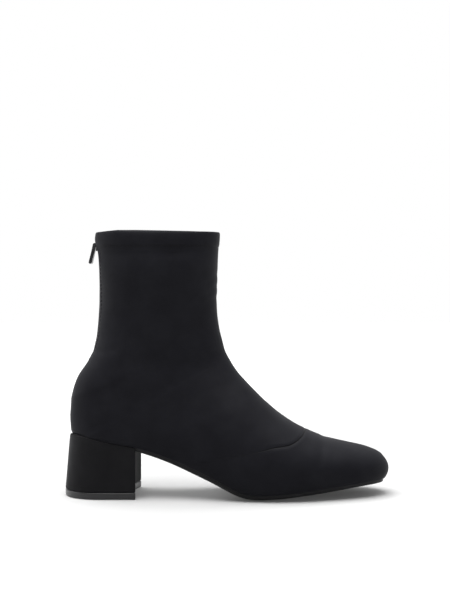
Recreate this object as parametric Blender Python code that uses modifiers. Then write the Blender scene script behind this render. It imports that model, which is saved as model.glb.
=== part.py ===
"""Stretch ankle boot for the right foot: a sock-like upper on a block heel, with a zip up the back.

A Blender 4.5 script. The tables are in millimetres and the scene is in metres. +X points to the toe,
+Y to the inner side of the foot and +Z up. The boot stands empty on the floor, z = 0, and the origin
lies on the floor under the middle of its length and width.
"""

import math
from collections import namedtuple

import bmesh
import bpy
import numpy as np
from mathutils import Euler, Vector

MM = 0.001
GAP = 0.3  # clearance between neighbouring pieces

# Sizes of the upper
WALL = 2.0
HEM_STEP = 0.7  # the folded hem at the collar stands this far proud of the shaft
SEAM_RADIUS = 0.8  # round groove where the vamp is sewn to the shaft
SEAM_LIFT = 0.25  # the groove's centre lies this far outside the surface

# Sizes of the sole
SOLE_INSET = 0.5  # the sole's edge lies inside the upper's lower edge
SOLE_EDGES = {121.0: 2.4, 12.0: 2.4, -68.0: 3.4, -121.0: 2.2}  # thickness at the edge, along the length
SOLE_CROWN = 2.8  # extra thickness under the middle of the forefoot
CROWN_FLAT = 0.6  # share of the half width that stays flat before the sole rolls up to its edge
INSOLE_THICK = 2.5
INSOLE_INSET = 2.6  # inside the sole's edge, to clear the wall of the upper

# Sizes of the heel
BREAST_X = -68.8  # front face of the heel, at its corners
BREAST_SAG = 5.0  # how far that face is hollowed towards the back
HEEL_TOP_BACK = -121.8
HEEL_FOOT_BACK = -124.8
HEEL_TOP_HALF = 27.8  # half widths
HEEL_FOOT_HALF = 27.4
HEEL_ROUND = 27.0  # length of the round back of the outline
HEEL_EDGE = 1.3
TOP_PIECE = 5.0
TOP_PIECE_EDGE = 0.6

# Sizes of the zip at the back
SLOT_HALF = 4.5
TAPE_HALF = 3.5
TEETH_HALF = 2.1
TAPE_DEPTH = 0.8  # below the surface of the shaft
TEETH_DEPTH = 0.1
ZIP_BACK_DEPTH = 1.7
SLIDER_HALF = 3.3
EAR_INNER = 2.45
EAR_OUTER = 3.15
BAR_OUT = 2.5  # the slider's cross bar, measured outwards from the shaft
BAR_RADIUS = 0.4
PULL_LENGTH = 14.0  # between the centres of its two round ends
PULL_TOP_RADIUS = 1.4
PULL_END_RADIUS = 1.2
PULL_EYE = 0.75  # radius of its hole for the cross bar
PULL_NECK = 5.0  # how far below the bar it starts to widen
PULL_WIDTH = 4.2
PULL_END_WIDTH = 8.0
PULL_TILT = 13.0  # degrees from straight down

# The last, as sections from the toe tip to the collar. Each is cut by a plane that fans from upright at
# the toe to level at the collar. low is its end on the sole's edge or up the back of the heel, and high
# its end on the vamp, the instep or the shin. seat is the half width at the sole's edge and wide the
# largest one, outer and inner. widest is the share of the way from low to high where that is, under and
# over the squareness of the form below and above it, bow the bulge across the section, seen from the
# side, and spine the sideways place of the middle.
Section = namedtuple(
    "Section",
    "low_x low_z high_x high_z seat_out seat_in wide_out wide_in widest under over bow spine",
)
SECTIONS = {
    "toe tip": Section(121.9, 12.3, 118.5, 31.0, 0.0, 0.0, 0.0, 0.0, 0.30, 2.20, 2.30, 4.5, 4.6),
    "toe front": Section(119.4, 12.3, 114.2, 33.3, 10.5, 10.5, 12.4, 12.4, 0.30, 2.20, 2.30, 4.0, 4.5),
    "toe round": Section(112.0, 12.2, 106.0, 36.1, 18.8, 18.8, 22.0, 22.0, 0.30, 2.20, 2.35, 2.4, 4.1),
    "toe": Section(100.0, 11.7, 93.5, 38.9, 25.4, 25.4, 29.0, 29.0, 0.30, 2.20, 2.35, 0.9, 3.3),
    "vamp": Section(82.0, 10.1, 76.0, 43.4, 31.0, 31.4, 34.9, 35.0, 0.31, 2.20, 2.25, 0.2, 2.0),
    "joint": Section(60.0, 7.7, 57.0, 51.2, 35.3, 35.2, 39.8, 39.4, 0.31, 2.20, 2.15, 0.0, 0.7),
    "ball": Section(36.0, 5.3, 41.5, 61.1, 36.8, 33.0, 41.8, 38.6, 0.30, 2.20, 2.05, 0.0, -0.1),
    "waist front": Section(12.0, 6.0, 28.0, 72.5, 34.0, 28.0, 40.0, 36.2, 0.31, 2.15, 2.00, 0.0, -0.6),
    "waist": Section(-14.0, 18.0, 17.2, 83.4, 28.5, 22.5, 36.5, 33.6, 0.33, 2.10, 2.00, 0.0, -0.8),
    "shank": Section(-42.0, 30.2, 9.6, 91.5, 25.8, 22.2, 33.4, 32.0, 0.34, 2.05, 2.00, 0.0, -0.8),
    "breast": Section(-68.0, 39.0, 5.2, 97.4, 26.2, 24.8, 31.6, 31.0, 0.35, 2.00, 2.05, 0.0, -0.5),
    "seat": Section(-92.0, 43.53, 2.5, 102.2, 26.6, 26.2, 31.0, 30.8, 0.35, 2.00, 2.10, 0.0, -0.2),
    "seat round": Section(-110.5, 47.02, 0.0, 107.2, 21.2, 21.2, 30.6, 30.6, 0.36, 2.00, 2.10, 0.0, 0.0),
    "heel corner": Section(-121.0, 49.0, -2.2, 112.8, 0.0, 0.0, 30.6, 30.6, 0.37, 2.40, 2.15, 0.0, 0.0),
    "counter": Section(-121.7, 66.0, -4.6, 120.6, 0.0, 0.0, 30.4, 30.4, 0.40, 2.40, 2.15, 0.0, 0.0),
    "bend": Section(-115.7, 91.0, -6.6, 129.8, 0.0, 0.0, 29.6, 29.6, 0.43, 2.30, 2.10, 0.0, 0.0),
    "ankle": Section(-103.2, 112.5, -7.9, 140.3, 0.0, 0.0, 29.4, 29.4, 0.46, 2.15, 2.05, 0.0, 0.0),
    "lower shaft": Section(-99.2, 138.0, -8.4, 153.5, 0.0, 0.0, 30.4, 30.4, 0.48, 2.05, 2.05, 0.2, 0.0),
    "shaft": Section(-98.7, 165.0, -8.0, 170.6, 0.0, 0.0, 32.0, 32.0, 0.49, 2.05, 2.05, 0.5, 0.0),
    "hem": Section(-100.2, 190.2, -6.9, 190.6, 0.0, 0.0, 33.6, 33.6, 0.49, 2.05, 2.05, 1.0, 0.0),
    "collar": Section(-101.1, 202.6, -6.5, 202.8, 0.0, 0.0, 34.2, 34.2, 0.49, 2.05, 2.05, 1.1, 0.0),
}
NAMES = list(SECTIONS)
ROWS = np.array(list(SECTIONS.values()))
CORNER = NAMES.index("heel corner")
HEM = NAMES.index("hem")
COLLAR = NAMES.index("collar")
ZIP_END = NAMES.index("bend") + 2 / 3  # the zip stops just above the bend of the heel
SLIDER_AT = HEM + 0.15

# Sampling of the surfaces
STEPS = 3  # stations from one section to the next
LOWER_STEPS = 6  # points from the lower end of a section to its widest place
UPPER_STEPS = 9  # and on to its ridge
EDGE_STATION = 0.03  # distance, in sections, between the two stations of a step
BOW_PEAK = 0.85

# The vamp seam, from the ridge of the vamp back to the sole before the heel: a row for each point, with
# its place among the sections and its place from the sole, 0, to the ridge, 1.
SeamPoint = namedtuple("SeamPoint", "section rise")
VAMP_SEAM = [
    SeamPoint(4.80, 1.00),
    SeamPoint(4.90, 0.88),
    SeamPoint(5.12, 0.75),
    SeamPoint(5.60, 0.63),
    SeamPoint(6.45, 0.545),
    SeamPoint(7.40, 0.43),
    SeamPoint(8.15, 0.27),
    SeamPoint(8.75, 0.00),
]
SEAM_STEPS = 5

MIRROR = np.where([name in ("seat_out", "seat_in", "wide_out", "wide_in") for name in Section._fields], -1, 1)
LOW_FIELDS = [Section._fields.index(name) for name in ("low_x", "low_z", "seat_out", "seat_in")]


def guarded(rows, before, after):
    """The rows with one more at each end, which sets the direction of a smooth curve there."""
    return np.vstack([before, rows, after])


WHOLE = guarded(ROWS, ROWS[1] * MIRROR, 2 * ROWS[-1] - ROWS[-2])
FOOT = guarded(ROWS[: CORNER + 1], ROWS[1] * MIRROR, ROWS[CORNER - 1] * MIRROR)
LEG = guarded(ROWS[CORNER:], 2 * ROWS[CORNER] - ROWS[CORNER + 1], 2 * ROWS[-1] - ROWS[-2])


def smooth(rows, at):
    """The smooth curve through guarded rows, at a place counted in rows from the first."""
    i = int(min(max(math.floor(at), 0), len(rows) - 4))
    s = at - i
    a, b, c, d = rows[i : i + 4]
    pull_b, pull_c = (c - a) / 2, (d - b) / 2
    return (
        (2 * s**3 - 3 * s**2 + 1) * b
        + (s**3 - 2 * s**2 + s) * pull_b
        + (3 * s**2 - 2 * s**3) * c
        + (s**3 - s**2) * pull_c
    )


def section(at):
    """The section of the last at a place between two rows of the table."""
    values = smooth(WHOLE, at)
    lower = smooth(FOOT, at) if at <= CORNER else smooth(LEG, at - CORNER)
    values[LOW_FIELDS] = lower[LOW_FIELDS]
    return Section(*values)


def side_frame(here):
    """The lower end of a section, the way along it, its length and the way across it, seen from the side."""
    low = np.array([here.low_x, here.low_z])
    span = np.array([here.high_x, here.high_z]) - low
    length = np.linalg.norm(span)
    along = span / length
    return low, along, length, np.array([along[1], -along[0]])


def lower_turn(at, wide, power, rise):
    """The angle that places a point below the widest one. Up the back, its first step ends at the zip's slot."""
    even = math.radians(90) / LOWER_STEPS
    leg = min(1.0, max(0.0, (at - CORNER) / (ZIP_END - CORNER)))
    slot = math.asin((SLOT_HALF / max(wide, SLOT_HALF)) ** (power / 2))
    first = even + (slot - even) * leg
    step = rise * LOWER_STEPS
    if step < 1:
        return math.radians(90) - first * step
    return (math.radians(90) - first) * (1 - (step - 1) / (LOWER_STEPS - 1))


def surface_point(at, rise, side, grow=0.0):
    """A point of the upper: rise runs from the lower end, 0, to the ridge, 1, and side is -1 outside, 1 inside."""
    here = section(at)
    low, along, length, across = side_frame(here)
    low, length = low - along * grow, length + 2 * grow
    seat = sole_half(here, side)
    wide = max(seat, (here.wide_out if side < 0 else here.wide_in) + grow)
    turn_at = LOWER_STEPS / (LOWER_STEPS + UPPER_STEPS)
    if rise < turn_at:
        turn = lower_turn(at, wide, here.under, rise / turn_at)
        share = here.widest * (1 - math.sin(turn) ** (2 / here.under))
        half = seat + (wide - seat) * max(0.0, math.cos(turn)) ** (2 / here.under)
    else:
        turn = math.radians(90) * (rise - turn_at) / (1 - turn_at)
        share = here.widest + (1 - here.widest) * math.sin(turn) ** (2 / here.over)
        half = wide * max(0.0, math.cos(turn)) ** (2 / here.over)
    bulge = share**BOW_PEAK
    x, z = low + along * length * share + across * here.bow * 4 * bulge * (1 - bulge)
    return Vector((x, here.spine + side * half, z)) * MM


def sole_half(here, side):
    """Half width of the sole's edge at a section."""
    return max(0.0, here.seat_out if side < 0 else here.seat_in)


def sole_point(here, share, inset, height):
    """A point across the sole, from its outer edge, -1, to its inner one, 1, drawn in all round by an inset."""
    length = SECTIONS["toe tip"].low_x - SECTIONS["heel corner"].low_x
    half = max(0.0, sole_half(here, share) - inset)
    return Vector((here.low_x * (1 - 2 * inset / length), here.spine + share * half, height)) * MM


def back_frame(at):
    """A point on the middle of the back, in millimetres, with the way up it and the way out of it."""
    here, above, below = section(at), section(at + 0.01), section(at - 0.01)
    up = Vector((above.low_x - below.low_x, 0, above.low_z - below.low_z)).normalized()
    return Vector((here.low_x, here.spine, here.low_z)), up, Vector((-up.z, 0, up.x))


def new_object(name, mesh, material):
    """A smooth-shaded object of that mesh in the boot's collection, carried by its root."""
    mesh.shade_smooth()
    mesh.set_sharp_from_angle(angle=math.radians(40))
    obj = bpy.data.objects.new(name, mesh)
    mesh.materials.append(material)
    PARTS.objects.link(obj)
    obj.parent = ROOT
    return obj


def loft(name, rings, material, ring_closed, capped):
    """A mesh between rings of points that each have the same count. Points that meet become one."""
    bm = bmesh.new()
    rows = [[bm.verts.new(p) for p in ring] for ring in rings]
    count = len(rows[0])
    for first, second in zip(rows, rows[1:]):
        for k in range(count if ring_closed else count - 1):
            n = (k + 1) % count
            bm.faces.new((first[k], first[n], second[n], second[k]))
    if capped:
        bm.faces.new(rows[0][::-1])
        bm.faces.new(rows[-1])
    bmesh.ops.remove_doubles(bm, verts=bm.verts, dist=1e-6)
    bmesh.ops.dissolve_degenerate(bm, edges=bm.edges, dist=1e-6)
    bmesh.ops.recalc_face_normals(bm, faces=bm.faces)
    mesh = bpy.data.meshes.new(name)
    bm.to_mesh(mesh)
    bm.free()
    return new_object(name, mesh, material)


def add_bevel(obj, width, segments):
    bevel = obj.modifiers.new("rounded edges", "BEVEL")
    bevel.width = width * MM
    bevel.segments = segments
    bevel.limit_method = "ANGLE"
    bevel.angle_limit = math.radians(40)


def add_boolean(obj, other, operation):
    """Cuts or joins another mesh object, which is then only a guide."""
    boolean = obj.modifiers.new(operation.lower(), "BOOLEAN")
    boolean.operation = operation
    boolean.object = other
    boolean.solver = "EXACT"
    other.hide_render = True
    other.display_type = "WIRE"
    PARTS.objects.unlink(other)
    CUTTERS.objects.link(other)


def make_material(name, colour, roughness, metallic=0.0):
    material = bpy.data.materials.new(name)
    material.use_nodes = True
    shader = material.node_tree.nodes["Principled BSDF"]
    shader.inputs["Base Color"].default_value = (*colour, 1.0)
    shader.inputs["Roughness"].default_value = roughness
    shader.inputs["Metallic"].default_value = metallic
    return material


def upper_stations():
    """Where the upper is sampled along the sections, with a pair of stations at the hem's step."""
    return sorted([*[k / STEPS for k in range(COLLAR * STEPS + 1)], HEM - EDGE_STATION])


def make_upper(material):
    """The hollow upper: one wall, open under the foot, at the collar and along the zip."""
    count = LOWER_STEPS + UPPER_STEPS
    rings = []
    for at in upper_stations():
        grow = HEM_STEP if at >= HEM else 0.0
        outer = [surface_point(at, k / count, -1, grow) for k in range(count + 1)]
        inner = [surface_point(at, k / count, 1, grow) for k in range(count)]
        rings.append(outer + inner[::-1])
    upper = loft("upper", rings, material, ring_closed=False, capped=False)
    open_slot(upper.data)
    if upper.data.polygons[0].normal.y > 0:
        upper.data.flip_normals()
    wall = upper.modifiers.new("wall", "SOLIDIFY")
    wall.thickness = WALL * MM
    wall.offset = -1
    wall.use_even_offset = True
    add_boolean(upper, make_seam_cutter(), "DIFFERENCE")
    return upper


def open_slot(mesh):
    """Takes the faces out of the slot that the zip fills, up the middle of the back."""
    low = section(ZIP_END).low_z * MM
    bm = bmesh.new()
    bm.from_mesh(mesh)
    slot = []
    for face in bm.faces:
        centre = face.calc_center_median()
        if centre.z > low and centre.x < section(ZIP_END).low_x * MM + 0.02 and abs(centre.y) < SLOT_HALF * MM:
            slot.append(face)
    bmesh.ops.delete(bm, geom=slot, context="FACES")
    bm.to_mesh(mesh)
    bm.free()


def seam_path():
    """Points of the vamp seam just outside the surface: along the outer side, over the ridge and back."""
    rows = np.array(VAMP_SEAM)
    rows = guarded(rows, 2 * rows[0] - rows[1], 2 * rows[-1] - rows[-2])
    places = [smooth(rows, k / SEAM_STEPS) for k in range((len(VAMP_SEAM) - 1) * SEAM_STEPS, -1, -1)]
    outer = [surface_point(at, min(1.0, max(0.0, rise)), -1, SEAM_LIFT) for at, rise in places]
    inner = [surface_point(at, min(1.0, max(0.0, rise)), 1, SEAM_LIFT) for at, rise in places[-2::-1]]
    return outer + inner


def make_seam_cutter():
    """A round cord along the vamp seam, as a mesh."""
    curve = bpy.data.curves.new("vamp_seam", "CURVE")
    curve.dimensions = "3D"
    curve.bevel_depth = SEAM_RADIUS * MM
    curve.bevel_resolution = 1
    curve.use_fill_caps = True
    path = seam_path()
    spline = curve.splines.new("POLY")
    spline.points.add(len(path) - 1)
    for point, place in zip(spline.points, path):
        point.co = (*place, 1.0)
    return mesh_from_curve(curve, None)


def mesh_from_curve(curve, material):
    """The closed mesh of a curve, as an object of the curve's name. The curve is removed."""
    name = curve.name
    holder = bpy.data.objects.new(name + "_curve", curve)
    PARTS.objects.link(holder)
    bpy.context.view_layer.update()
    graph = bpy.context.evaluated_depsgraph_get()
    mesh = bpy.data.meshes.new_from_object(holder.evaluated_get(graph))
    bm = bmesh.new()
    bm.from_mesh(mesh)
    bmesh.ops.remove_doubles(bm, verts=bm.verts, dist=1e-6)
    bmesh.ops.recalc_face_normals(bm, faces=bm.faces)
    bm.to_mesh(mesh)
    bm.free()
    mesh.name = name
    mesh.materials.clear()
    bpy.data.objects.remove(holder)
    bpy.data.curves.remove(curve)
    return new_object(name, mesh, material)


def sole_stations():
    return [k / STEPS for k in range(CORNER * STEPS + 1)]


def sole_edge(x):
    """Thickness of the sole at its edge."""
    places = sorted(SOLE_EDGES)
    return float(np.interp(x, places, [SOLE_EDGES[place] for place in places]))


def sole_crown(here):
    """Extra thickness under the middle of the sole: full under the ball, none at the tip and the heel."""
    fore = min(1.0, max(0.0, (SECTIONS["toe tip"].low_x - here.low_x) / 60))
    aft = min(1.0, max(0.0, (here.low_x - BREAST_X - 4) / 60))
    return SOLE_CROWN * math.sin(math.radians(90) * fore) * math.sin(math.radians(90) * aft)


def make_outsole(material):
    """The outsole: flat on top, rolled up at its edges, and flat on the floor under the ball."""
    shares = [-1, -0.93, -0.8, -CROWN_FLAT, -0.2, 0.2, CROWN_FLAT, 0.8, 0.93, 1]
    rings = []
    for at in sole_stations():
        here = section(at)
        crown = sole_crown(here)
        top = here.low_z - GAP
        ring = []
        for share in shares:
            roll = max(0.0, abs(share) - CROWN_FLAT) / (1 - CROWN_FLAT)
            low = max(0.0, top - sole_edge(here.low_x) - crown * (1 - roll**2))
            ring.append(sole_point(here, share, SOLE_INSET, low))
        ring += [sole_point(here, share, SOLE_INSET, top) for share in (1, -1)]
        rings.append(ring)
    return loft("outsole", rings, material, ring_closed=True, capped=False)


def make_insole(material):
    """The insole: a thin sheet on the outsole, inside the lower edge of the upper."""
    rings = []
    for at in sole_stations():
        here = section(at)
        corners = ((-1, 0), (1, 0), (1, INSOLE_THICK), (-1, INSOLE_THICK))
        rings.append([sole_point(here, side, INSOLE_INSET, here.low_z + height) for side, height in corners])
    return loft("insole", rings, material, ring_closed=True, capped=False)


def heel_outline(back, half):
    """The heel seen from above: a round back, straight sides and a hollow front, as (x, y) pairs."""
    round_steps, breast_steps = 20, 10
    points = []
    for k in range(round_steps + 1):
        turn = math.radians(-90 + 180 * k / round_steps)
        points.append((back + HEEL_ROUND * (1 - math.cos(turn)), half * math.sin(turn)))
    for k in range(breast_steps + 1):
        share = 1 - 2 * k / breast_steps
        points.append((BREAST_X - BREAST_SAG * (1 - share**2), half * share))
    return points


def seat_height(x):
    """Height of the heel's sloping top, under the sole: the seat is straight from the breast to the back."""
    front, back = SECTIONS["breast"], SECTIONS["heel corner"]
    slope = (back.low_z - front.low_z) / (back.low_x - front.low_x)
    return front.low_z + slope * (x - front.low_x) - sole_edge(x) - 2 * GAP


def make_heel(material):
    """The block heel, from under the seat down to the top piece."""
    foot = TOP_PIECE + GAP
    rings = [
        [Vector((x, y, foot)) * MM for x, y in heel_outline(HEEL_FOOT_BACK, HEEL_FOOT_HALF)],
        [Vector((x, y, seat_height(x))) * MM for x, y in heel_outline(HEEL_TOP_BACK, HEEL_TOP_HALF)],
    ]
    heel = loft("heel", rings, material, ring_closed=True, capped=True)
    add_bevel(heel, HEEL_EDGE, 2)
    return heel


def make_top_piece(material):
    """The wearing plate under the heel."""
    outline = heel_outline(HEEL_FOOT_BACK, HEEL_FOOT_HALF)
    rings = [[Vector((x, y, z)) * MM for x, y in outline] for z in (0.0, TOP_PIECE)]
    piece = loft("heel_top_piece", rings, material, ring_closed=True, capped=True)
    add_bevel(piece, TOP_PIECE_EDGE, 1)
    return piece


def make_zip(material):
    """The closed zip in the slot up the back: two tapes with the row of teeth raised between them."""
    profile = [
        (-TAPE_HALF, TAPE_DEPTH),
        (-TEETH_HALF - 0.4, TAPE_DEPTH),
        (-TEETH_HALF, TEETH_DEPTH),
        (TEETH_HALF, TEETH_DEPTH),
        (TEETH_HALF + 0.4, TAPE_DEPTH),
        (TAPE_HALF, TAPE_DEPTH),
        (TAPE_HALF, ZIP_BACK_DEPTH),
        (-TAPE_HALF, ZIP_BACK_DEPTH),
    ]
    first, last = ZIP_END + 2 * EDGE_STATION, COLLAR - EDGE_STATION
    stations = [first, *[k / STEPS for k in range(COLLAR * STEPS) if first < k / STEPS < last], last]
    rings = []
    for at in stations:
        place, _, out = back_frame(at)
        rings.append([(place + Vector((0, y, 0)) - out * depth) * MM for y, depth in profile])
    return loft("zip", rings, material, ring_closed=True, capped=True)


def zip_holder():
    """An empty on the slider's cross bar, with its Z up the zip and its X into the boot."""
    place, up, out = back_frame(SLIDER_AT)
    holder = bpy.data.objects.new("slider_bar", None)
    PARTS.objects.link(holder)
    holder.parent = ROOT
    holder.location = (place + out * BAR_OUT) * MM
    holder.rotation_euler = Euler((0, math.atan2(up.x, up.z), 0))
    return holder


def extruded_outline(name, outlines, half_width, material):
    """A plate whose outline, with any holes, is given as closed lists of (x, z), as thick as the zip's parts are wide."""
    curve = bpy.data.curves.new(name, "CURVE")
    curve.dimensions = "2D"
    curve.fill_mode = "BOTH"
    curve.extrude = half_width * MM
    for outline in outlines:
        spline = curve.splines.new("POLY")
        spline.points.add(len(outline) - 1)
        spline.use_cyclic_u = True
        for point, (x, z) in zip(spline.points, outline):
            point.co = (x * MM, z * MM, 0.0, 1.0)
    plate = mesh_from_curve(curve, material)
    plate.data.transform(Euler((math.radians(90), 0, 0)).to_matrix().to_4x4())
    return plate


def make_slider(holder, material):
    """The zip's slider: a wedge-shaped body with two ears that carry the cross bar."""
    inner = BAR_OUT - 0.2
    body = [(inner, 4.0), (BAR_OUT - 0.7, 4.0), (BAR_OUT - 0.8, 0.0), (BAR_OUT - 1.7, -5.0), (inner, -5.0)]
    slider = extruded_outline("zip_slider", [body], SLIDER_HALF, material)
    slider.parent = holder
    ear_half = (EAR_OUTER - EAR_INNER) / 2
    for side in (-1, 1):
        ear = [(inner - 0.2, 1.8), (-0.6, 0.8), (-0.8, 0.0), (-0.6, -0.8), (inner - 0.2, -2.0)]
        plate = extruded_outline("slider_ear", [ear], ear_half, material)
        plate.parent = holder
        plate.location.y = side * (EAR_INNER + ear_half) * MM
        add_boolean(slider, plate, "UNION")
    bm = bmesh.new()
    bmesh.ops.create_cone(
        bm,
        cap_ends=True,
        segments=12,
        radius1=BAR_RADIUS * MM,
        radius2=BAR_RADIUS * MM,
        depth=2 * (EAR_INNER + ear_half) * MM,
    )
    mesh = bpy.data.meshes.new("slider_cross_bar")
    bm.to_mesh(mesh)
    bm.free()
    bar = new_object("slider_cross_bar", mesh, material)
    bar.parent = holder
    bar.rotation_euler = Euler((math.radians(90), 0, 0))
    add_boolean(slider, bar, "UNION")
    return slider


def drop_outline(top_radius, end_radius, length, neck, steps):
    """A long drop: an arc round the origin and an arc that length below it, as (x, z) pairs."""
    lean = math.asin((top_radius - end_radius) / length)
    beside = top_radius + (end_radius - top_radius) * neck / length
    top = [math.radians(180) + lean - (math.radians(180) + 2 * lean) * k / steps for k in range(steps + 1)]
    end = [-lean - (math.radians(180) - 2 * lean) * k / steps for k in range(steps + 1)]
    arc = [(top_radius * math.cos(a), top_radius * math.sin(a)) for a in top]
    tip = [(end_radius * math.cos(a), end_radius * math.sin(a) - length) for a in end]
    return arc + [(beside, -neck)] + tip + [(-beside, -neck)]


def make_pull(holder, material):
    """The pull: a tab with an eye round the slider's bar, wider below its neck, hanging out from the boot."""
    steps = 10
    outline = drop_outline(PULL_TOP_RADIUS, PULL_END_RADIUS, PULL_LENGTH, PULL_NECK, steps)
    turns = [math.radians(360) * k / (2 * steps) for k in range(2 * steps)]
    eye = [(PULL_EYE * math.cos(a), PULL_EYE * math.sin(a)) for a in turns]
    pull = extruded_outline("zip_pull", [outline, eye], PULL_WIDTH / 2, material)
    for vertex in pull.data.vertices:
        share = (-vertex.co.z / MM - PULL_NECK) / (PULL_LENGTH - PULL_NECK)
        vertex.co.y *= 1 + (PULL_END_WIDTH / PULL_WIDTH - 1) * min(1.0, max(0.0, share))
    pull.parent = holder
    pull.rotation_euler = Euler((0, math.radians(PULL_TILT) - holder.rotation_euler.y, 0))
    return pull


def clear_scene():
    for obj in list(bpy.data.objects):
        bpy.data.objects.remove(obj, do_unlink=True)


def new_collection(name):
    made = bpy.data.collections.new(name)
    bpy.context.scene.collection.children.link(made)
    return made


clear_scene()
PARTS = new_collection("stretch_ankle_boot")
CUTTERS = new_collection("cutters")
ROOT = bpy.data.objects.new("boot", None)
PARTS.objects.link(ROOT)

CLOTH = make_material("black_stretch_cloth", (0.010, 0.010, 0.012), 0.75)
RUBBER = make_material("black_rubber", (0.018, 0.018, 0.019), 0.5)
LINING = make_material("dark_lining", (0.020, 0.020, 0.021), 0.85)
TAPE = make_material("zip_tape", (0.012, 0.012, 0.013), 0.6)
METAL = make_material("dark_nickel", (0.10, 0.10, 0.105), 0.3, 1.0)

make_upper(CLOTH)
make_outsole(RUBBER)
make_insole(LINING)
make_heel(CLOTH)
make_top_piece(RUBBER)
make_zip(TAPE)
BAR = zip_holder()
make_slider(BAR, METAL)
make_pull(BAR, METAL)
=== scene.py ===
"""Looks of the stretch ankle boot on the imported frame: cloth, seams, zip, stitches, light and camera."""

import math
from collections import namedtuple

import bmesh
import bpy
import numpy as np
from mathutils import Euler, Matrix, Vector


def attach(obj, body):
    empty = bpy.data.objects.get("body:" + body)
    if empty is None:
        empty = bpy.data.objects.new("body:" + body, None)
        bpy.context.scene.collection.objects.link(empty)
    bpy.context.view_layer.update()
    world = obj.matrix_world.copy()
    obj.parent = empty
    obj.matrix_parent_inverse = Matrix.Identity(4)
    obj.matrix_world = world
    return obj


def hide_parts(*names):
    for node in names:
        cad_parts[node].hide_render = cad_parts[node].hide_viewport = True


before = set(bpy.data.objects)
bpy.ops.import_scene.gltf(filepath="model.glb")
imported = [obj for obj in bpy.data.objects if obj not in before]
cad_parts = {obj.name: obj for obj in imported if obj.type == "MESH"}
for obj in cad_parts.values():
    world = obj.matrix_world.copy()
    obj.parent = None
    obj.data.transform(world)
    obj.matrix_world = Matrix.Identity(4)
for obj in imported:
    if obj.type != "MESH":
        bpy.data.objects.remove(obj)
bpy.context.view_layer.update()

MM = 0.001
GAP = 0.3
FAR = 99.0  # stands for a distance that doesn't count
BOOT = "boot"

# Sizes in millimetres
WALL = 2.0

SOLE_SHORTER = 0.5  # at each end, than the upper's edge
# By x: the sole's thickness at its edge, and how far that lies inside the upper's
SOLE_EDGES = {121.0: 2.4, 12.0: 2.4, -68.0: 3.4, -121.0: 2.2}
SOLE_INSETS = {121.0: 0.5, 45.0: 0.4, 28.0: -0.4, -4.0: -0.4, -24.0: 0.6, -68.0: 0.9, -121.0: 1.2}
SOLE_SEAM = 0.02  # the glued joint of sole and upper
SOLE_CROWN = 2.8
CROWN_FLAT = 0.6  # share of the half width that the crown's flat middle takes
CROWN_RUN = 60.0  # length over which the crown rises at each end
CROWN_CLEAR = 4.0  # from the heel's front to the crown
SOLE_SHARES = [0, 0.3, CROWN_FLAT, 0.7, 0.8, 0.88, 0.95, 0.985, 1]  # points across half the width
EDGE_TURN = 0.94  # share of the half width where the lower edge turns up
EDGE_LIFT = 0.5
RIM_ZONE = (70.5, 78.0)  # behind the origin: the sole's top draws in here, inside the heel's rim

BREAST_X = -68.8
BREAST_SAG = 5.0
HEEL_TOP_BACK = -121.9
HEEL_FOOT_BACK = -125.2
HEEL_TOP_HALF = 27.8
HEEL_FOOT_HALF = 27.4
HEEL_ROUND = 27.0
HEEL_EDGE = 1.3
HEEL_RIM = 1.6
SEAT_SINK = 0.1
# Rounded edges: how far in from the outline, and how far from the flat face
HEEL_FOOT_EDGE = [(2.0, 0.0), (0.6, 0.0), (0.25, 0.08), (0.06, 0.3), (0.0, 0.7), (0.0, 1.3)]
HEEL_RIM_EDGE = [(0.0, 1.5), (0.0, 0.9), (0.06, 0.4), (0.25, 0.12), (0.6, 0.0), (1.2, 0.0)]
PLATE_EDGE = [(2.0, 0.0), (0.6, 0.0), (0.3, 0.08), (0.08, 0.3), (0.0, 0.6), (0.0, 1.0)]
TOP_PIECE = 5.0

SLOT_HALF = 4.5
ZIP_BACK_DEPTH = 1.7
BOW_PEAK = 0.85
LOWER_STEPS = 6
UPPER_STEPS = 9
TURN_AT = LOWER_STEPS / (LOWER_STEPS + UPPER_STEPS)
SLOT_RISE = TURN_AT / LOWER_STEPS

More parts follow.
